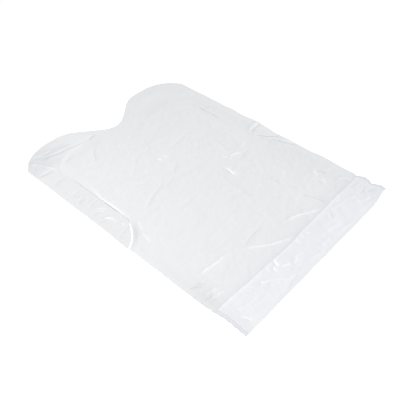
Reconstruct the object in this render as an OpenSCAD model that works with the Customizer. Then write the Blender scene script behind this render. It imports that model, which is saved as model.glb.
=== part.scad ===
// Disposable cape of thin plastic film, lying flat with its outer face up: one die-cut sheet
// with a neck notch, two tie strips freed by slits, and a hem turned up into a catch pocket.
// X runs across the cape, +Y points to the neck end, +Z is up.
// Origin: middle of the resting face. Outlines are drawn up from the bottom fold at y = 0.
// Left is the -X side and right the +X side, seen from above with the neck end away.

/* [Sheet] */
// Width of the sheet across the cape
sheet_w = 450; // [430:5:480]
// Length from the bottom fold to the shoulder lobes
sheet_l = 625; // [610:5:680]
// Thickness of a film layer as modelled, standing for rumpled film
film_t = 1; // [0.8:0.1:1.2]

/* [Neck end] */
// Depth of the neck notch below the shoulder lobes
notch_depth = 62.5; // [55:0.5:66]
// Radius of the bottom of the neck notch
notch_r = 45; // [40:1:48]
// Radius of each shoulder lobe on its neck side
lobe_inner_r = 77; // [72:1:80]
// Radius of each shoulder lobe on its outer side
lobe_outer_r = 100; // [95:1:110]
// Distance from the middle to the centre of the lobe's inner arc
lobe_inner_x = 121.5; // [118:0.5:124]
// Distance from the middle to the centre of the lobe's outer arc
lobe_outer_x = 140; // [136:1:144]

/* [Ties] */
// Width of each tie strip beside the sheet
tie_w = 47; // [42:1:52]
// Distance from the shoulder lobes down to the slit across them
lobe_band = 61; // [58:1:64]
// Radius of the slit where it turns down beside the sheet
slit_r = 53; // [45:1:58]
// Width of the slit between tie and sheet
kerf = 1; // [0.8:0.1:1.4]
// Distance from the middle to the line where a tie lifts off the sheet
root_x = 80; // [76:1:84]
// Height of the fold across each tie strip
strip_fold_y = 505; // [480:5:505]
// Height where the slit leaves its straight run
slit_end_y = 323; // [315:1:335]
// Height of the pointed tip of each tie
tip_y = 266; // [260:1:275]
// Radius of the curved cut from the slit to the tip
tip_r = 95; // [85:1:110]

/* [Pocket] */
// Depth of the turned-up pocket
pocket_d = 64; // [55:1:75]
// Space between the two layers of the pocket
pocket_gap = 0.5; // [0.4:0.1:0.8]
// Half the width of the panel that gapes open
mouth_half = 140; // [120:5:150]
// Width of the heat seal down each end of the pocket
seal_w = 5; // [4:0.5:8]

/* [Folds] */
// Height of the fold between chest and lap
lap_fold_y = 250; // [200:5:250]
// Free gap across each fold line that a joint turns about
fold_gap = 2; // [1.6:0.1:2.4]

/* [Hidden] */
half_w = sheet_w / 2;
notch_y = sheet_l - notch_depth;
slit_x = half_w - tie_w;
slit_y = sheet_l - lobe_band;
front_z = film_t + pocket_gap;
bend_r = film_t + pocket_gap / 2;
arc_steps = 16;
bend_fn = 48;
past = 20;

function arc(c, r, from, to) =
    [for (i = [0:arc_steps]) let (a = from + (to - from) * i / arc_steps) c + r * [cos(a), sin(a)]];

function mirrored(points) =
    [for (i = [len(points) - 1:-1:0]) [-points[i].x, points[i].y]];

// The straight flank of the notch is the common tangent of the notch arc and the lobe's inner arc.
notch_c = [0, notch_y + notch_r];
inner_c = [lobe_inner_x, sheet_l - lobe_inner_r];
outer_c = [lobe_outer_x, sheet_l - lobe_outer_r];
between = inner_c - notch_c;
flank_a = asin((notch_r + lobe_inner_r) / norm(between)) + atan2(between.y, between.x);
corner_a = acos((half_w - outer_c.x) / lobe_outer_r);

neck_half = concat(
    arc(notch_c, notch_r, -90, flank_a - 90),
    arc(inner_c, lobe_inner_r, 90 + flank_a, 90),
    arc(outer_c, lobe_outer_r, 90, corner_a)
);

// Centre of the arc that cuts the tie's end, from its two ends and its radius.
end_a = [slit_x, slit_end_y];
end_b = [half_w, tip_y];
end_chord = end_b - end_a;
end_rise = sqrt(tip_r * tip_r - end_chord * end_chord / 4);
end_c = (end_a + end_b) / 2 + end_rise * [-end_chord.y, end_chord.x] / norm(end_chord);

// The slit from the tie's root to its tip, moved by g towards the tie.
function slit(from_x, g) = let (r = tip_r - g, a0 = acos((slit_x + g - end_c.x) / r),
                                a1 = acos((half_w - end_c.x) / r)) concat(
    [[from_x, slit_y + g]],
    arc([slit_x - slit_r, slit_y - slit_r], slit_r + g, 90, 0),
    arc(end_c, r, -a0, -a1)
);

module sheet_outline() {
    polygon(concat([[half_w, 0], [-half_w, 0]], mirrored(neck_half), neck_half));
}

// Everything on the tie's side of the right-hand slit.
module beyond_slit(from_x, g) {
    cut = slit(from_x, g);
    polygon(concat(cut, [
        [half_w + past, cut[len(cut) - 1].y],
        [half_w + past, sheet_l + past],
        [from_x, sheet_l + past]
    ]));
}

module between_heights(low, high) {
    translate([-half_w - past, low]) square([sheet_w + 2 * past, high - low]);
}

module film(z = 0) {
    translate([0, -sheet_l / 2, z]) linear_extrude(film_t) children();
}

module side(name) {
    if (name == "right") children();
    else mirror([1, 0, 0]) children();
}

module chest_panel() {
    color("gainsboro") film() difference() {
        intersection() {
            sheet_outline();
            between_heights(lap_fold_y + fold_gap / 2, sheet_l + past);
        }
        beyond_slit(root_x - fold_gap / 2, -kerf / 2);
        mirror([1, 0]) beyond_slit(root_x - fold_gap / 2, -kerf / 2);
    }
}

module lap_panel() {
    color("gainsboro") film() intersection() {
        sheet_outline();
        between_heights(bend_r, lap_fold_y - fold_gap / 2);
    }
}

module tie_part(low, high) {
    color("lightgray") film() intersection() {
        sheet_outline();
        beyond_slit(root_x + fold_gap / 2, kerf / 2);
        between_heights(low, high);
    }
}

module tie_lobe() {
    tie_part(strip_fold_y + fold_gap / 2, sheet_l + past);
}

module tie_strip() {
    tie_part(0, strip_fold_y - fold_gap / 2);
}

// The film turning back over itself along the hem.
module bottom_fold() {
    color("ghostwhite") translate([-half_w, bend_r - sheet_l / 2, bend_r])
        rotate([90, 0, 90]) linear_extrude(sheet_w) difference() {
            circle(bend_r, $fn = bend_fn);
            circle(pocket_gap / 2, $fn = bend_fn);
            translate([0, -past]) square(2 * past);
        }
}

module hem_layer(low_x, high_x, low_y) {
    color("ghostwhite") film(front_z)
        translate([low_x, low_y]) square([high_x - low_x, pocket_d - low_y]);
}

module pocket_front() {
    hem_layer(-mouth_half, mouth_half, bend_r + fold_gap / 2);
}

module gusset() {
    hem_layer(mouth_half + kerf, half_w - seal_w, bend_r);
}

// Both layers fused together down the end of the pocket.
module side_seal() {
    color("white") translate([half_w - seal_w, bend_r - sheet_l / 2, film_t])
        cube([seal_w, pocket_d - bend_r, film_t + pocket_gap]);
}

chest_panel();
lap_panel();
side("left") tie_lobe();  // left_tie_lobe
side("left") tie_strip();  // left_tie_strip
side("right") tie_lobe();  // right_tie_lobe
side("right") tie_strip();  // right_tie_strip
bottom_fold();
pocket_front();
side("left") gusset();  // left_gusset
side("right") gusset();  // right_gusset
side("left") side_seal();  // left_side_seal
side("right") side_seal();  // right_side_seal
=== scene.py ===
"""A disposable barber cape of thin white plastic film, lying flat with its outer face up.

The film is one die-cut sheet. It is built here as triangulated film pieces, one for each stretch that
folds in its own way, whose edges meet along shared seams. Outlines are drawn in millimetres, with x
across the cape and s measured up from the hem, and go to the frame's metres when a piece is made.
"""
from collections import namedtuple
from math import acos, asin, atan2, ceil, cos, degrees, hypot, pi, radians, sin

import bpy
import numpy as np
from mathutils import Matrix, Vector
from mathutils.geometry import delaunay_2d_cdt
from mathutils.kdtree import KDTree


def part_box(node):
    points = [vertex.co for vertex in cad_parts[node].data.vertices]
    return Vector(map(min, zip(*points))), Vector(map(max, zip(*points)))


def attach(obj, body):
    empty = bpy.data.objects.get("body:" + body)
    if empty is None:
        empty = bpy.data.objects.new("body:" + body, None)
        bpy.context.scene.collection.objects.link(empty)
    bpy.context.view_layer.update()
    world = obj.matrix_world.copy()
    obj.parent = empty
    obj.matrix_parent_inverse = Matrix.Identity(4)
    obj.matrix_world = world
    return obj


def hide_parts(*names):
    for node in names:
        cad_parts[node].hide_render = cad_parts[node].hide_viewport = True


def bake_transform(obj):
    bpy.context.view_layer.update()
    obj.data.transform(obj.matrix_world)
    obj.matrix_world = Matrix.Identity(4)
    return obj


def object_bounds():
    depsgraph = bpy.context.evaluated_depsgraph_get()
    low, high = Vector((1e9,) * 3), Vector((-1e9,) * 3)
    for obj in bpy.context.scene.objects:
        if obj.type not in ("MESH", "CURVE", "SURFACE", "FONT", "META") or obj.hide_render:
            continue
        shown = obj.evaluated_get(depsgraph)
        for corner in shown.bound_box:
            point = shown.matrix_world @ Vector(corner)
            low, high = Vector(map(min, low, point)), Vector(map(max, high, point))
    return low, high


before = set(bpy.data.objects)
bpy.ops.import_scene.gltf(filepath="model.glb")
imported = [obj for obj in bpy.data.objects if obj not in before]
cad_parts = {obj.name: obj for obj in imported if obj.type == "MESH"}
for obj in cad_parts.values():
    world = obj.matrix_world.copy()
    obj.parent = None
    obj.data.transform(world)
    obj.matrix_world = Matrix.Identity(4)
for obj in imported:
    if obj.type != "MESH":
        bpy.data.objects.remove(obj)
cad_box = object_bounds()

MM = 0.001

# ---------------------------------------------------------------- sizes, in mm, from the frame


def node_box(node):
    low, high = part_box(node)
    return np.array(low) / MM, np.array(high) / MM


chest_low, chest_high = node_box("chest_panel")
lap_high = node_box("lap_panel")[1]
lobe_low, lobe_high = node_box("right_tie_lobe")
strip_low, strip_high = node_box("right_tie_strip")
front_high = node_box("pocket_front")[1]
seal_low, seal_high = node_box("right_side_seal")

HEM_Y = cad_box[0][1] / MM
HALF_W = chest_high[0]
LENGTH = lobe_high[1] - HEM_Y
FOLD_GAP = chest_low[1] - lap_high[1]
KERF = 1
STRIP_FOLD = (lobe_low[1] + strip_high[1]) / 2 - HEM_Y
ROOT_X = lobe_low[0] - FOLD_GAP / 2
SLIT_X = strip_low[0] - KERF / 2
TIP = strip_low[1] - HEM_Y
POCKET = seal_high[1] - HEM_Y
MOUTH_HALF = front_high[0]
SEAL_X = seal_low[0]

# ---------------------------------------------------------------- the cut, in mm, as in the CAD source

NOTCH_DEPTH = 62.5
NOTCH_R = 45
INNER_X, INNER_R = 121.5, 77
OUTER_X, OUTER_R = 140, 100
SLIT_R = 53
SLIT_END = 323
TIP_R = 95
SLIT_DEPTH = 61
SLIT_S = LENGTH - SLIT_DEPTH

# ---------------------------------------------------------------- the film, in mm

FILM_T = 0.2
FLOOR_GAP = 0.1
LAYER_GAP = 0.15
HEM_BEND = 1.5

OUTLINE_STEP = 2.5
BODY_SPACING = 2.8
FINE_SPACING = 2.2
SEAL_SPACING = 1.2
EDGE_CLEARANCE = 1.2

SEED = 7
# Scale of the tone along the folds: film whitened by strain with a painted highlight on ridges, and
# painted shade in creases.
FOLD_TONE = 0.9


def arc(centre, r, start, end, step=OUTLINE_STEP):
    count = max(2, ceil(abs(radians(end - start)) * r / step))
    angles = np.radians(np.linspace(start, end, count + 1))
    return np.column_stack([centre[0] + r * np.cos(angles), centre[1] + r * np.sin(angles)])


def line(a, b, step=OUTLINE_STEP):
    count = max(1, ceil(hypot(b[0] - a[0], b[1] - a[1]) / step))
    t = np.linspace(0, 1, count + 1)[:, None]
    return (1 - t) * np.array(a, float) + t * np.array(b, float)


def chain(*runs):
    """Joins runs of points end to end, leaving out each repeated point."""
    points = runs[0]
    for run in runs[1:]:
        same = np.hypot(*(run[0] - points[-1])) < 1e-6
        points = np.vstack([points, run[1:] if same else run])
    return points


def mirrored(points):
    return points[::-1] * [-1, 1]


def neck_edge():
    """Right half of the neck end, from the middle of the notch round the lobe to the side edge."""
    notch = (0, LENGTH - NOTCH_DEPTH + NOTCH_R)
    inner = (INNER_X, LENGTH - INNER_R)
    outer = (OUTER_X, LENGTH - OUTER_R)
    gap = hypot(inner[0] - notch[0], inner[1] - notch[1])
    flank = degrees(asin((NOTCH_R + INNER_R) / gap) + atan2(inner[1] - notch[1], inner[0] - notch[0]))
    corner = degrees(acos((HALF_W - OUTER_X) / OUTER_R))
    bottom = arc(notch, NOTCH_R, -90, flank - 90)
    lobe_in = arc(inner, INNER_R, 90 + flank, 90)
    lobe_out = arc(outer, OUTER_R, 90, corner)
    return chain(bottom, line(bottom[-1], lobe_in[0]), lobe_in, line(lobe_in[-1], lobe_out[0]), lobe_out)


def slit_edge():
    """The slit that frees the right tie, from its root to its tip, and the middle of its end arc."""
    a = np.array([SLIT_X, SLIT_END])
    b = np.array([HALF_W, TIP])
    chord = b - a
    rise = np.sqrt(TIP_R ** 2 - chord @ chord / 4)
    centre = (a + b) / 2 + rise * np.array([-chord[1], chord[0]]) / np.hypot(*chord)
    start = degrees(atan2(*(a - centre)[::-1]))
    end = degrees(atan2(*(b - centre)[::-1]))
    turn = arc((SLIT_X - SLIT_R, SLIT_S - SLIT_R), SLIT_R, 90, 0)
    points = chain(
        line((ROOT_X, SLIT_S - 2), turn[0]),
        turn,
        line(turn[-1], (SLIT_X, STRIP_FOLD)),
        line((SLIT_X, STRIP_FOLD), a),
        arc(centre, TIP_R, start, end),
    )
    return points, centre


NECK = neck_edge()
SLIT, TIP_CENTRE = slit_edge()
ROOT_SEAM = line(SLIT[0], (ROOT_X, np.interp(ROOT_X, NECK[:, 0], NECK[:, 1])))

# ---------------------------------------------------------------- the lie of the film, in mm

# A fold runs from (x0, s0) to (x1, s1) and bows sideways. It rises or dips by height, and fades over
# left to its left and right to its right. Its last field, where positive, lightens the film along it,
# which is partly whitened by strain and partly a painted highlight; where negative, it paints shade.
Fold = namedtuple("Fold", "x0 s0 x1 s1 height left right bow whiten")


def scatter(seed, count, low, high, length, heading, height, whiten):
    """Small folds of about one length and heading, with their middles drawn inside a box."""
    rng = np.random.default_rng(SEED + seed)
    folds = []
    for _ in range(count):
        x, s = rng.uniform(low, high)
        half = length * rng.uniform(0.7, 1.3) / 2
        turn = radians(heading + rng.uniform(-25, 25))
        dx, ds = half * cos(turn), half * sin(turn)
        folds.append(Fold(x - dx, s - ds, x + dx, s + ds, height, 2.5, 3.5, rng.uniform(-2, 2), whiten))
    return folds


def pleats(seed, count):
    """Fan of uneven pleats, alternately sunk and raised, from the left tie's root over its lobe."""
    rng = np.random.default_rng(seed)
    fan = []
    for i in range(count):
        start = rng.uniform(0, 30)
        end = rng.uniform(0, 40)
        aside = rng.uniform(-3, 3)
        # Sunk pleats get painted shade, and raised ones a slight lightening, partly whitened by strain
        # and partly a painted highlight.
        height, whiten = [(-1.2, -0.45), (0.8, 0.12)][i % 2]
        width = rng.uniform(2, 5)
        x0, s0 = -62 - 8 * i - start, 566 + 5 * i + aside
        x1, s1 = -190 - 2 * i + end, 578 + 5 * i + aside
        height *= rng.uniform(0.4, 1.1)
        bow = rng.uniform(-4, 6)
        whiten *= rng.uniform(0.4, 1.2)
        fan.append(Fold(x0, s0, x1, s1, height, width, width + 1, bow, whiten))
    return fan


# The three long ridges that run into the pocket's mouth, the folds across the middle, the pinched
# film beside the far tie's tip, and the small crinkles at the corners.
BODY_FOLDS = [
    Fold(-195, 135, -120, 130, 1.2, 3, 5, 0, 0.8),
    Fold(-100, 125, 0, 65, 1.4, 4, 6, -5, 0.7),
    Fold(5, 105, 90, 70, 1.5, 5, 6, 2, 0.8),
    Fold(90, 130, 105, 70, -1.3, 9, 12, 5, -0.5),
    Fold(-90, 120, -20, 130, -0.7, 3, 3, 0, -0.5),
    Fold(-185, 280, -190, 250, 0.7, 2, 3, 0, 0.55),
    Fold(-170, 310, -180, 280, 0.6, 2, 3, 0, 0.45),
    Fold(55, 295, 50, 250, 1.3, 5, 5, 0, 0.9),
    Fold(60, 285, 50, 260, 0.4, 3, 3, 0, 0.8),
    Fold(75, 320, 85, 300, 0.9, 3, 3, 0, 0.6),
    Fold(85, 305, 115, 295, 0.9, 2, 3, 0, 0.8),
    Fold(140, 290, 90, 280, -0.6, 3, 4, 0, -0.3),
    Fold(35, 285, 25, 180, -0.7, 4, 5, -6, -0.2),
    Fold(55, 290, 100, 120, -0.6, 5, 8, 6, -0.15),
    Fold(50, 295, 110, 135, 0.4, 4, 6, -8, 0),
    Fold(5, 375, -30, 350, -0.7, 3, 4, 0, -0.4),
    Fold(-30, 345, -70, 335, -0.7, 3, 4, 0, -0.35),
    Fold(-50, 355, -140, 320, -0.8, 3, 4, 2, -0.4),
    Fold(-35, 340, 45, 315, -0.5, 4, 5, 4, -0.15),
    Fold(-40, 275, -120, 275, -0.5, 4, 5, 3, -0.15),
    Fold(-40, 455, -100, 400, -0.5, 4, 6, 3, -0.15),
    Fold(105, 430, 20, 410, -0.7, 6, 7, 0, -0.2),
    Fold(105, 375, 100, 310, -0.7, 5, 5, 5, -0.3),
    Fold(5, 485, -5, 445, -0.6, 3, 4, 0, -0.2),
    Fold(-85, 540, -115, 495, -0.9, 4, 4, 0, -0.5),
    Fold(-130, 550, -160, 545, -0.9, 4, 4, 0, -0.6),
    Fold(-50, 575, -80, 565, -0.9, 3, 4, 0, -0.8),
    Fold(190, 285, 220, 215, -1.3, 4, 4, 3, -1.0),
    Fold(205, 265, 220, 225, 1.2, 3, 4, 2, 0.8),
    Fold(180, 305, 190, 260, -1.0, 3, 3, 0, -0.5),
    Fold(175, 320, 185, 270, 0.9, 3, 3, 3, 0.3),
    Fold(170, 145, 180, 120, -0.8, 3, 4, 2, -0.6),
    Fold(180, 100, 200, 70, 0.7, 3, 3, 0, 0.5),
]
BODY_FOLDS += scatter(20, 8, (-215, 82), (-185, 125), 22, 10, 0.5, 0.35)
BODY_FOLDS += scatter(21, 5, (-215, 75), (-195, 130), 24, -20, -0.6, -0.4)
BODY_FOLDS += scatter(22, 4, (155, 90), (200, 150), 22, -60, 0.7, 0.4)
BODY_FOLDS += scatter(23, 4, (-25, 395), (0, 415), 12, -40, 0.6, 0.5)


# The pleats, the folds from the lobe's corner, and the wrinkles across the strip.
LEFT_TIE_FOLDS = pleats(29, 8)
LEFT_TIE_FOLDS += [
    Fold(-195, 605, -170, 580, -1.3, 5, 5, 0, -0.5),
    Fold(-215, 600, -180, 535, 2.2, 7, 9, 0, 0.6),
    Fold(-225, 545, -185, 540, -1.4, 4, 4, 0, -0.9),
]
LEFT_TIE_FOLDS += scatter(24, 12, (-214, 290), (-192, 510), 28, 10, -0.7, -0.35)
LEFT_TIE_FOLDS += scatter(25, 7, (-205, 310), (-193, 385), 20, 115, 0.7, 0.5)

# The pinched film near the far strip's tip, and two faint wrinkles above it.
RIGHT_TIE_FOLDS = [
    Fold(180, 320, 225, 325, -1.2, 3, 4, 2, -1.1),
    Fold(180, 330, 230, 340, 1.6, 6, 7, 0, 0.1),
    Fold(180, 470, 205, 450, -0.7, 3, 4, 0, -0.4),
    Fold(180, 445, 220, 470, 0.5, 4, 6, 0, 0.1),
]

# The wrinkles in the turned-up layer, which gather near the pocket's mouth and at its far end.
FRONT_FOLDS = [
    Fold(-75, 65, -80, 45, 1.0, 3, 3, 0, 1.0),
    Fold(-80, 45, -60, 35, 0.8, 2, 3, 0, 0.6),
    Fold(-140, 55, -90, 20, 1.0, 4, 6, 0, 0.4),
    Fold(-65, 30, -40, 35, 0.8, 3, 4, 0, 0.4),
    Fold(-115, 5, -70, 15, -0.8, 3, 4, 0, -0.4),
    Fold(95, 60, 75, 40, -0.8, 3, 3, 2, -0.5),
    Fold(-205, 35, -195, 10, 0.8, 2, 3, 0, 0.6),
]
FRONT_FOLDS += scatter(26, 8, (-190, 46), (60, 60), 13, 80, 0.7, 0.55)
FRONT_FOLDS += scatter(27, 14, (-190, 12), (190, 58), 48, -10, 0.7, 0.12)
FRONT_FOLDS += scatter(28, 7, (170, 15), (210, 66), 28, -20, -0.8, -0.3)


def smooth(t):
    t = np.clip(t, 0, 1)
    return t * t * (3 - 2 * t)


def hump(t, start, peak, end):
    """0 outside start to end, and 1 at peak."""
    return smooth((t - start) / (peak - start)) * smooth((end - t) / (end - peak))


def waves(x, s, seed, count, shortest, longest, sharp=False):
    """Seeded sum of waves in all directions, about -1 to 1: rolling, or folded flat-sided if sharp."""
    rng = np.random.default_rng(seed)
    total = np.zeros_like(x)
    for _ in range(count):
        turn = rng.uniform(0, pi)
        length = rng.uniform(shortest, longest)
        t = (x * cos(turn) + s * sin(turn)) / length + rng.uniform(0, 1)
        across = (x * sin(turn) - s * cos(turn)) / (2.3 * length) + rng.uniform(0, 1)
        patch = 0.5 + 0.5 * np.sin(2 * pi * across)
        if sharp:
            total += (4 * np.abs(t - np.round(t)) - 1) * patch
        else:
            total += np.sin(2 * pi * t) * patch
    return total / count ** 0.5


def creases(x, s, seed, count, shortest, longest):
    """Seeded scatter of thin ridges, each bending a little and fading in and out along its run."""
    rng = np.random.default_rng(seed)
    total = np.zeros_like(x)
    for _ in range(count):
        turn = rng.uniform(0, pi)
        length = rng.uniform(shortest, longest)
        bends = rng.uniform(0, 1)
        across = (x * sin(turn) - s * cos(turn)) / length
        t = (x * cos(turn) + s * sin(turn)) / length + 0.12 * np.sin(2 * pi * (1.3 * across + bends))
        row = np.round(t)
        off = np.abs(t - row) * length
        shows = smooth(1.6 * np.sin(2 * pi * (0.8 * across + 0.37 * row + bends)) - 0.5)
        total += shows * np.exp(-off / 2.5) * (1 if rng.uniform() < 0.6 else -1)
    return total


def fold_bend(fold, t):
    """How far to its left a fold has strayed from its straight line, part t of the way along."""
    length = hypot(fold.x1 - fold.x0, fold.s1 - fold.s0)
    wobble = 0.013 * length * np.sin(8 * t + fold.x0) * np.sin(pi * np.clip(t, 0, 1))
    return fold.bow * 4 * t * (1 - t) + wobble


def fold_places(x, s, fold):
    """How far along and how far aside of a fold each point is: 0 to 1, and mm to its left."""
    along = np.array([fold.x1 - fold.x0, fold.s1 - fold.s0], float)
    size = np.hypot(*along)
    along /= size
    t = ((x - fold.x0) * along[0] + (s - fold.s0) * along[1]) / size
    off = (s - fold.s0) * along[0] - (x - fold.x0) * along[1]
    return t, off - fold_bend(fold, t)


def add_folds(x, s, folds):
    """The rise that the folds give at each point, and their tone: film whitened by strain and painted
    highlights along ridges, painted shade along creases.
    """
    rise = np.zeros_like(x)
    white = np.zeros_like(x)
    for fold in folds:
        t, off = fold_places(x, s, fold)
        ends = smooth(t / 0.28) * smooth((1 - t) / 0.28)
        reach = (0.4 + 0.6 * ends) * np.where(off > 0, fold.left, fold.right)
        rise += fold.height * ends * np.exp(-np.abs(off) / reach)
        patchy = 0.75 + 0.25 * np.sin(x / 3.3 + fold.s0) * np.sin(s / 2.9 + fold.x0)
        white += FOLD_TONE * fold.whiten * patchy * ends * np.exp(-(off / 1.3) ** 2)
    return rise, white


def nearest(points, others):
    """How far each point is from the closest of the others."""
    tree = KDTree(len(others))
    for i, p in enumerate(others):
        tree.insert((p[0], p[1], 0), i)
    tree.balance()
    return np.array([tree.find((p[0], p[1], 0))[2] for p in points])


def slit_places(x, s, turn):
    """How far each point is from the left (-1) or right (1) slit, in mm."""
    return nearest(np.column_stack([x, s]), SLIT * [turn, 1])


def base_height(x, s):
    """Shallow rolls, flat-sided crumples and thin creases, all lower towards the sides and the hem."""
    h = 1.7 + 0.8 * waves(x, s, SEED, 6, 150, 320)
    h = h + 0.3 * waves(x, s, SEED + 1, 14, 40, 120, sharp=True)
    h = h + 0.25 * creases(x, s, SEED + 2, 34, 60, 190) + 0.13 * creases(x, s, SEED + 8, 40, 24, 70)
    return h * (0.3 + 0.7 * smooth(s / 90)) * (0.25 + 0.75 * smooth((HALF_W - np.abs(x)) / 22))


def settle(h):
    """Film that would dip below the floor lies on it."""
    low = FILM_T + FLOOR_GAP
    softness = 0.5
    return low + softness * np.logaddexp(0, (h - low) / softness)


def slit_rest(away):
    """How much of its height the film keeps at that distance from a slit, whose edges lie low."""
    return 0.3 + 0.7 * smooth(away / 35)


def body_shape(x, s):
    """Height and tone of the body film: folds whitened by strain, painted highlights and painted shade.
    """
    rise, white = add_folds(x, s, BODY_FOLDS)
    left = slit_places(x, s, -1)
    right = slit_places(x, s, 1)
    h = base_height(x, s) * slit_rest(np.minimum(left, right)) + rise
    # The lip of the left slit stands up, with a raised streak along it that carries a painted highlight,
    # and the right one a little.
    h = h + 1.1 * hump(s, 330, 365, 412) * np.exp(-left / 6)
    streak = hump(s, 318, 370, 480) * np.exp(-((left - 3 - np.clip(s - 405, 0, 70) / 6) / 2.2) ** 2)
    h = h + 1.0 * streak + 0.4 * hump(s, 262, 420, 563) * np.exp(-right / 6)
    # The streak's painted highlight, and a band of painted shade beside the left slit near the tie's tip.
    white = white + 0.6 * streak - 0.5 * hump(s, 255, 285, 322) * np.exp(-((left - 5) / 5) ** 2)
    # Shade beside the pocket's mouth, at the near corner and towards the far side.
    mouth = np.clip(s - mouth_edge(x), 0, None)
    white = white - 0.25 * np.exp(-mouth / 9) * (s < 120)
    white = white - 0.18 * smooth((-x - 175) / 30) * hump(s, 60, 92, 165)
    white = white - 0.12 * smooth((x - 110) / 90) * smooth((330 - s) / 150)
    return settle(h), white


def tie_shape(x, s, turn):
    """Height and tone of the left (-1) or right (1) tie film: folds whitened by strain, painted
    highlights and painted shade.
    """
    rise, white = add_folds(x, s, LEFT_TIE_FOLDS if turn < 0 else RIGHT_TIE_FOLDS)
    away = slit_places(x, s, turn)
    h = base_height(x, s) * slit_rest(away) + rise
    if turn < 0:
        # The left tie gets painted shade, most of all its lobe, and a painted highlight along the slit's
        # edge.
        white = white - 0.13 * smooth((-x - 90) / 50)
        white = white + 0.7 * hump(s, 320, 360, 412) * np.exp(-(away / 1.5) ** 2)
        white = white + 0.4 * smooth((s - 495) / 25) * smooth((-x - 90) / 12) * np.exp(-(away / 1.3) ** 2)
        white = white - 0.25 * smooth((s - 535) / 30) * smooth((-x - 110) / 80)
    else:
        h = h + 0.5 * hump(s, 400, 450, 500) * np.exp(-away / 8)
    return settle(h), white


def mouth_edge(x):
    """Where the pocket's opening edge runs: a slightly wavy line."""
    across = [-HALF_W, -125, -60, 0, 110, HALF_W]
    above = np.array([2, 0, -2, 0, 4, 5])
    return np.interp(x, across, POCKET + above) + 0.6 * np.sin(x / 17)


def front_shape(x, s):
    """Height and tone of the pocket's front film, which lies over the body film: folds whitened by
    strain, painted highlights and painted shade.
    """
    rise, white = add_folds(x, s, FRONT_FOLDS)
    middle = smooth((SEAL_X - np.abs(x)) / 25) * smooth(s / 14)
    lift = 0.8 + 0.5 * waves(x, s, SEED + 3, 7, 60, 160)
    lift = lift + 0.14 * waves(x, s, SEED + 4, 12, 25, 60, sharp=True)
    lift = lift + 0.22 * creases(x, s, SEED + 7, 30, 35, 110)
    mouth_low = 1 - 0.7 * smooth((s - 42) / 18)
    # The film stands a little clear at the hem, or the part behind the hinge would dip into the body
    # film as the mouth opens.
    clear = 0.35 * smooth((SEAL_X - np.abs(x)) / 12) * (1 - smooth((s - 2) / 6))
    lift = np.maximum(middle * (lift * mouth_low + rise), 0) + LAYER_GAP + clear
    # The mouth's edge gets a painted highlight and the far end painted shade.
    white = white + 0.25 * np.exp(-np.abs(mouth_edge(x) - s) / 3) - 0.2 * smooth((x - 120) / 90)
    below, _ = body_shape(x, s)
    # A line of painted shade along the groove where this film meets the seal.
    groove = np.exp(-((np.abs(x) - SEAL_X) / 1.2) ** 2)
    return below + FILM_T + lift, white - 0.5 * groove


def seal_shape(x, s):
    """Height and tone of the crimped seal, where both layers are fused: painted light and shade along the
    crimps, and painted shade in the groove at its inner side.
    """
    below, _ = body_shape(x, s)
    crimps = np.sin(2 * pi * s / 3)
    edge = smooth((np.abs(x) - SEAL_X) / 1.5)
    height = below + FILM_T + LAYER_GAP + 0.1 * edge * (1 + crimps)
    # Painted light and shade follow the crimps; the groove at the inner side gets painted shade.
    return height, 0.1 * edge + 0.15 * crimps - 0.5 * (1 - edge)


def drift(x, s):
    """Small sideways shifts of the whole film, which make its cut edges slightly uneven."""
    dx = 0.5 * waves(x, s, SEED + 5, 5, 30, 90)
    ds = 0.5 * waves(x, s, SEED + 6, 5, 30, 90)
    # The far edge is drawn in below the strip, and both corners of the hem are pulled out of line.
    far = smooth((x - 185) / 40)
    near = smooth((-x - 190) / 30)
    dx = dx * (1 + 2 * far) - 4.5 * far * smooth((330 - s) / 60) + 3.5 * near * hump(s, -20, 45, 75)
    dx = dx + 3 * far * hump(s, 321, 334, 380)
    ds = ds + 7 * smooth((x - 150) / 75) * smooth((100 - s) / 100)
    # The sealed ends are puckered into small teeth, and the far one into scallops as well.
    crimped = smooth((np.abs(x) - 205) / 18) * smooth((84 - s) / 10)
    teeth = np.abs(np.sin(s * pi / 14 + 0.4))
    scallops = 1 - np.abs(np.sin((s - 31) * pi / 40))
    return dx - crimped * np.where(x < 0, -1.8 * teeth, 1.5 * teeth + 7 * scallops - 4), ds


def tie_drift(x, s, turn):
    """How far the tie has moved off its slit: ajar near the tip, and almost closed elsewhere."""
    to_x = turn * TIP_CENTRE[0] - x
    to_s = TIP_CENTRE[1] - s
    size = np.hypot(to_x, to_s)
    hold = np.exp(-slit_places(x, s, turn) / 30)
    end = smooth((335 - s) / 40) * (3.5 if turn < 0 else 0.8)
    dashes = hump(s, 405, 425, 440) + hump(s, 448, 460, 475) + 0.6 * hump(s, 480, 490, 500)
    side = 0.22 * smooth((STRIP_FOLD - s) / 30) * smooth((s - 300) / 40)
    side = side + (0.7 * dashes if turn > 0 else 0.35 * hump(s, 400, 450, 500))
    return hold * (end * to_x / size + turn * side), hold * end * to_s / size


# ---------------------------------------------------------------- triangulated film


def inside(points, loop):
    """Which points lie inside a closed loop."""
    x, y = points[:, 0], points[:, 1]
    hit = np.zeros(len(points), bool)
    for a, b in zip(loop, np.roll(loop, -1, axis=0)):
        if a[1] == b[1]:
            continue
        crosses = (a[1] > y) != (b[1] > y)
        hit ^= crosses & (x < (b[0] - a[0]) * (y - a[1]) / (b[1] - a[1]) + a[0])
    return hit


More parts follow.
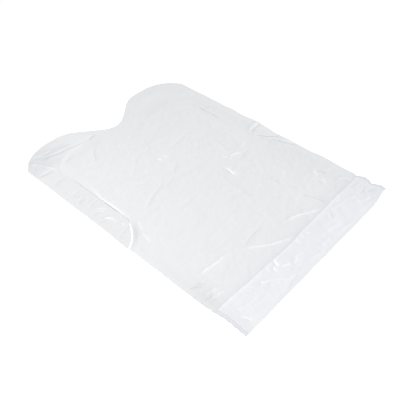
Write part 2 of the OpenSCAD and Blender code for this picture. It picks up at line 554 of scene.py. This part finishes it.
def grid_points(loop, spacing):
    low, high = loop.min(0), loop.max(0)
    rows = np.arange(low[1], high[1], spacing * 0.866)
    cols = np.arange(low[0], high[0], spacing)
    x, y = np.meshgrid(cols, rows)
    x = x + (np.arange(len(rows)) % 2)[:, None] * spacing / 2
    rng = np.random.default_rng(SEED)
    points = np.column_stack([x.ravel(), y.ravel()])
    points += rng.uniform(-0.15, 0.15, points.shape) * spacing
    return points[inside(points, loop)]


def crease_points(folds):
    """Rows of points along each fold's crest and just beside it, so that the crest is sharp."""
    rows = []
    for fold in folds:
        length = hypot(fold.x1 - fold.x0, fold.s1 - fold.s0)
        t = np.linspace(0.02, 0.98, max(3, ceil(length / 2)))
        ux, us = (fold.x1 - fold.x0) / length, (fold.s1 - fold.s0) / length
        for aside in (-1.5, 0, 1.5):
            off = fold_bend(fold, t) + aside
            rows.append(np.column_stack([
                fold.x0 + t * length * ux - off * us,
                fold.s0 + t * length * us + off * ux,
            ]))
    return np.vstack(rows)


def triangulate(loop, spacing, folds):
    """Points and triangles that fill the loop, with rows of points along the folds."""
    creases = crease_points(folds)
    creases = creases[inside(creases, loop)]
    creases = creases[nearest(creases, loop) > EDGE_CLEARANCE]
    grid = grid_points(loop, spacing)
    grid = grid[nearest(grid, np.vstack([loop, creases])) > 0.6 * spacing]
    n = len(loop)
    points = np.vstack([loop, creases, grid])
    edges = [(i, (i + 1) % n) for i in range(n)]
    verts, _, faces, _, _, _ = delaunay_2d_cdt([Vector(p) for p in points], edges, [], 1, 0.3)
    return np.array([(v.x, v.y) for v in verts]), np.array(faces)


def film_piece(name, loop, spacing, shape, folds, move=None):
    """A closed thin shell over the area inside loop, with shape(x, s) giving height and tone, the tone
    being film whitened by strain with painted highlights and painted shade.
    """
    flat, faces = triangulate(loop, spacing, folds)
    x, s = flat[:, 0], flat[:, 1]
    z, white = shape(x, s)
    dx, ds = drift(x, s)
    if move:
        more = move(x, s)
        dx, ds = dx + more[0], ds + more[1]
    top = np.column_stack([x + dx, s + ds + HEM_Y, z]) * MM
    bottom = top - [0, 0, FILM_T * MM]
    count = len(top)
    directed = {(a, b) for f in faces.tolist() for a, b in zip(f, f[1:] + f[:1])}
    rim = sorted((a, b) for a, b in directed if (b, a) not in directed)
    under = faces[:, ::-1] + count
    sides = [(b, a, a + count, b + count) for a, b in rim]
    mesh = bpy.data.meshes.new(name)
    mesh.from_pydata(np.vstack([top, bottom]).tolist(), [], faces.tolist() + under.tolist() + sides)
    return film_object(name, mesh, rim, count, white)


def film_object(name, mesh, rim, count, white):
    """Smooth shading on both skins, with a hard edge round the rim so that pieces meet unseen."""
    mesh.shade_smooth()
    hard = {frozenset(e) for e in rim} | {frozenset((a + count, b + count)) for a, b in rim}
    sharp = mesh.attributes.new("sharp_edge", "BOOLEAN", "EDGE")
    sharp.data.foreach_set("value", [frozenset(e.vertices) in hard for e in mesh.edges])
    # Each vertex keeps its tone on both skins: film whitened by strain, painted highlights and painted
    # shade.
    tone_attribute = mesh.attributes.new("tone_with_painted_light", "FLOAT", "POINT")
    tone_attribute.data.foreach_set("value", np.tile(white, 2).astype(np.float32))
    obj = bpy.data.objects.new(name, mesh)
    bpy.context.scene.collection.objects.link(obj)
    return obj


def body_loop():
    right = chain(
        line((0, HEM_BEND), (HALF_W, HEM_BEND)),
        line((HALF_W, HEM_BEND), (HALF_W, TIP)),
        SLIT[::-1],
        ROOT_SEAM,
        NECK[NECK[:, 0] < ROOT_X][::-1],
    )
    return chain(right, mirrored(right)[1:-1])


def lobe_loop():
    slit = SLIT[SLIT[:, 1] >= STRIP_FOLD - 0.01]
    return chain(
        slit,
        line(slit[-1], (HALF_W, STRIP_FOLD)),
        line((HALF_W, STRIP_FOLD), NECK[-1]),
        NECK[NECK[:, 0] > ROOT_X][::-1],
        ROOT_SEAM[::-1][:-1],
    )


def strip_loop():
    slit = SLIT[SLIT[:, 1] <= STRIP_FOLD + 0.01]
    return chain(
        slit,
        line((HALF_W, TIP), (HALF_W, STRIP_FOLD)),
        line((HALF_W, STRIP_FOLD), slit[0])[:-1],
    )


def front_loop(low_x, high_x):
    x = np.linspace(low_x, high_x, max(3, ceil((high_x - low_x) / OUTLINE_STEP)) + 1)
    mouth = np.column_stack([x, mouth_edge(x)])
    return chain(
        line((low_x, HEM_BEND), (high_x, HEM_BEND)),
        line((high_x, HEM_BEND), mouth[-1]),
        mouth[::-1],
        line(mouth[0], (low_x, HEM_BEND))[:-1],
    )


def hem_roll():
    """The film turning back over itself: half a roll from the body's edge to the front layer's."""
    x = np.arange(-HALF_W, HALF_W + 1, OUTLINE_STEP)
    s = np.full_like(x, HEM_BEND)
    low = body_shape(x, s)[0] - FILM_T / 2
    high = front_shape(x, s)[0] - FILM_T / 2
    dx, ds = drift(x, s)
    turns = np.linspace(0, pi, 9)
    skins = []
    for skin in (FILM_T / 2, -FILM_T / 2):
        radius = (high - low) / 2 + skin
        for turn in turns:
            out = np.minimum(radius * sin(turn), HEM_BEND)
            z = (low + high) / 2 - radius * cos(turn)
            skins.append(np.column_stack([x + dx, s - out + ds + HEM_Y, z]))
    n, m = len(x), len(turns)
    index = np.arange(2 * m * n).reshape(2 * m, n)
    ring = np.vstack([index[:m], index[m:][::-1], index[:1]])
    faces = [
        (ring[i, j], ring[i, j + 1], ring[i + 1, j + 1], ring[i + 1, j])
        for i in range(2 * m) for j in range(n - 1)
    ]
    ends = [(index[i, j], index[i + 1, j], index[m + i + 1, j], index[m + i, j])[::turn]
            for i in range(m - 1) for j, turn in ((0, 1), (n - 1, -1))]
    mesh = bpy.data.meshes.new("hem_roll")
    mesh.from_pydata((np.vstack(skins) * MM).tolist(), [], [tuple(map(int, f)) for f in faces + ends])
    mesh.shade_smooth()
    obj = bpy.data.objects.new("hem_film", mesh)
    bpy.context.scene.collection.objects.link(obj)
    return obj


# ---------------------------------------------------------------- materials


def film_material(name, dark, plain, light, roughness, crumple):
    """Thin polyethylene: milky, softly glossy and finely crumpled, its colour moved along the ramp by the
    tone attribute, which holds film whitened by strain, painted highlights and painted shade.
    """
    material = bpy.data.materials.new(name)
    material.use_nodes = True
    nodes, links = material.node_tree.nodes, material.node_tree.links
    shader = nodes["Principled BSDF"]
    shader.inputs["IOR"].default_value = 1.5
    shader.inputs["Specular IOR Level"].default_value = 0.3
    place = nodes.new("ShaderNodeTexCoord").outputs["Object"]

    def noise(scale, detail):
        node = nodes.new("ShaderNodeTexNoise")
        node.inputs["Scale"].default_value = scale
        node.inputs["Detail"].default_value = detail
        links.new(place, node.inputs["Vector"])
        return node

    def add_scaled(value, factor, base):
        node = nodes.new("ShaderNodeMath")
        node.operation = "MULTIPLY_ADD"
        links.new(value, node.inputs[0])
        node.inputs[1].default_value = factor
        links.new(base, node.inputs[2])
        return node.outputs[0]

    # The tone attribute: film whitened by strain, painted highlights and painted shade.
    tone_attribute = nodes.new("ShaderNodeAttribute")
    tone_attribute.attribute_name = "tone_with_painted_light"
    cloud = noise(60, 5)
    grain = noise(500, 3)
    cloud_share = 0.08
    grain_share = 0.4
    noise_middle = (cloud_share + grain_share) / 2
    level = add_scaled(cloud.outputs["Fac"], cloud_share, tone_attribute.outputs["Fac"])
    level = add_scaled(grain.outputs["Fac"], grain_share, level)
    reach = nodes.new("ShaderNodeMapRange")
    reach.inputs["From Min"].default_value = -1 + noise_middle
    reach.inputs["From Max"].default_value = 1 + noise_middle
    links.new(level, reach.inputs["Value"])
    colour = nodes.new("ShaderNodeValToRGB")
    colour.color_ramp.elements[0].color = (*dark, 1)
    colour.color_ramp.elements[1].color = (*light, 1)
    middle = colour.color_ramp.elements.new(0.5)
    middle.color = (*plain, 1)
    links.new(reach.outputs["Result"], colour.inputs["Fac"])
    links.new(colour.outputs["Color"], shader.inputs["Base Color"])

    gloss = nodes.new("ShaderNodeMapRange")
    gloss.inputs["To Min"].default_value = roughness - 0.06
    gloss.inputs["To Max"].default_value = roughness + 0.08
    links.new(cloud.outputs["Fac"], gloss.inputs["Value"])
    links.new(gloss.outputs["Result"], shader.inputs["Roughness"])

    bend = nodes.new("ShaderNodeVectorMath")
    bend.operation = "MULTIPLY_ADD"
    bend.inputs[1].default_value = (0.012, 0.012, 0)
    links.new(noise(35, 3).outputs["Color"], bend.inputs[0])
    links.new(place, bend.inputs[2])
    facets = nodes.new("ShaderNodeTexVoronoi")
    facets.feature = "DISTANCE_TO_EDGE"
    facets.inputs["Scale"].default_value = 55
    links.new(bend.outputs["Vector"], facets.inputs["Vector"])

    fold_bump = nodes.new("ShaderNodeBump")
    fold_bump.inputs["Strength"].default_value = crumple
    fold_bump.inputs["Distance"].default_value = 0.002
    links.new(facets.outputs["Distance"], fold_bump.inputs["Height"])
    grain_bump = nodes.new("ShaderNodeBump")
    grain_bump.inputs["Strength"].default_value = 0.45
    grain_bump.inputs["Distance"].default_value = 0.0005
    links.new(grain.outputs["Fac"], grain_bump.inputs["Height"])
    links.new(fold_bump.outputs["Normal"], grain_bump.inputs["Normal"])
    links.new(grain_bump.outputs["Normal"], shader.inputs["Normal"])
    return material


BODY_FILM = film_material(
    "body_film", (0.45, 0.468, 0.49), (0.63, 0.638, 0.647), (0.84, 0.86, 0.90), 0.54, 0.16
)
POCKET_FILM = film_material(
    "pocket_film", (0.50, 0.515, 0.555), (0.648, 0.655, 0.679), (0.86, 0.88, 0.93), 0.5, 0.07
)
SEAL_FILM = film_material(
    "heat_seal", (0.40, 0.42, 0.47), (0.58, 0.59, 0.63), (0.80, 0.82, 0.87), 0.45, 0.15
)

# ---------------------------------------------------------------- the pieces


def dress(piece, material, slot, *nodes):
    piece.data.materials.append(material)
    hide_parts(*nodes)


body_edge = body_loop()
body = film_piece("body_film", body_edge, BODY_SPACING, body_shape, BODY_FOLDS)
dress(body, BODY_FILM, "body_film", "chest_panel", "lap_panel")
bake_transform(body)


def make_tie(side, turn, folds):
    """The two films of one tie: the lobe from the root round the corner, and the strip below it."""
    edges = [lobe_loop(), strip_loop()]
    if turn < 0:
        edges = [mirrored(edge) for edge in edges]

    def shape(x, s):
        return tie_shape(x, s, turn)

    def move(x, s):
        return tie_drift(x, s, turn)

    lobe = film_piece(f"{side}_lobe_film", edges[0], FINE_SPACING, shape, folds, move)
    dress(lobe, BODY_FILM, "body_film", f"{side}_tie_lobe")
    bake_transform(lobe)
    strip = film_piece(f"{side}_strip_film", edges[1], FINE_SPACING, shape, folds, move)
    dress(strip, BODY_FILM, "body_film", f"{side}_tie_strip")
    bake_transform(strip)


def make_pocket_end(side, turn):
    """The end of the pocket's front layer, which the mouth pulls up, and its crimped seal."""
    inner_edge = front_loop(*sorted((turn * MOUTH_HALF, turn * SEAL_X)))
    outer = sorted((turn * SEAL_X, turn * HALF_W))
    gusset = film_piece(f"{side}_gusset_film", inner_edge, FINE_SPACING, front_shape, FRONT_FOLDS)
    seal = film_piece(f"{side}_seal_film", front_loop(*outer), SEAL_SPACING, seal_shape, FRONT_FOLDS)
    dress(gusset, POCKET_FILM, "pocket_film", f"{side}_gusset")
    dress(seal, SEAL_FILM, "heat_seal", f"{side}_side_seal")
    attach(seal, "lap")
    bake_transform(gusset)


make_tie("left", -1, LEFT_TIE_FOLDS)
make_tie("right", 1, RIGHT_TIE_FOLDS)
make_pocket_end("left", -1)
make_pocket_end("right", 1)

hem = hem_roll()
dress(hem, POCKET_FILM, "pocket_film", "bottom_fold")
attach(hem, "lap")

front_edge = front_loop(-MOUTH_HALF, MOUTH_HALF)
front = film_piece("pocket_front_film", front_edge, FINE_SPACING, front_shape, FRONT_FOLDS)
dress(front, POCKET_FILM, "pocket_film", "pocket_front")
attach(front, "pocket")

# ---------------------------------------------------------------- floor, light and camera

bpy.ops.mesh.primitive_plane_add(size=6)
floor = bpy.context.object
floor.name = "floor"
pale = bpy.data.materials.new("pale_floor")
pale.use_nodes = True
pale_shader = pale.node_tree.nodes["Principled BSDF"]
pale_shader.inputs["Base Color"].default_value = (1, 1, 1, 1)
pale_shader.inputs["Roughness"].default_value = 0.9
floor.data.materials.append(pale)

scene = bpy.context.scene
scene.view_settings.view_transform = "Standard"
world = bpy.data.worlds.new("studio")
world.use_nodes = True
background = world.node_tree.nodes["Background"]
background.inputs["Color"].default_value = (1, 1, 1, 1)
background.inputs["Strength"].default_value = 0.52
scene.world = world


def softbox(name, heading, elevation, distance, size, power):
    """A round softbox seen from the cape at that heading, clockwise from +Y, aimed at the cape."""
    data = bpy.data.lights.new(name, "AREA")
    data.shape = "DISK"
    data.size = size
    data.energy = power
    light = bpy.data.objects.new(name, data)
    scene.collection.objects.link(light)
    a, e = radians(heading), radians(elevation)
    light.location = distance * Vector((sin(a) * cos(e), cos(a) * cos(e), sin(e)))
    light.rotation_euler = light.location.to_track_quat("Z", "Y").to_euler()


softbox("key", heading=130, elevation=32, distance=5.0, size=0.85, power=225)
softbox("fill", heading=285, elevation=40, distance=1.3, size=0.7, power=9)

VIEW_AZIMUTH = -47.8
VIEW_ELEVATION = 44.9
VIEW_DISTANCE = 1.025
VIEW_TARGET = Vector((-0.055, -0.079, 0))
LENS = 46.4

camera_data = bpy.data.cameras.new("camera")
camera_data.lens = LENS
camera_data.clip_start = 0.01
camera = bpy.data.objects.new("camera", camera_data)
scene.collection.objects.link(camera)
azimuth = radians(VIEW_AZIMUTH)
elevation = radians(VIEW_ELEVATION)
away = Vector((sin(azimuth) * cos(elevation), -cos(azimuth) * cos(elevation), sin(elevation)))
camera.location = VIEW_TARGET + VIEW_DISTANCE * away
camera.rotation_euler = away.to_track_quat("Z", "Y").to_euler()
scene.camera = camera
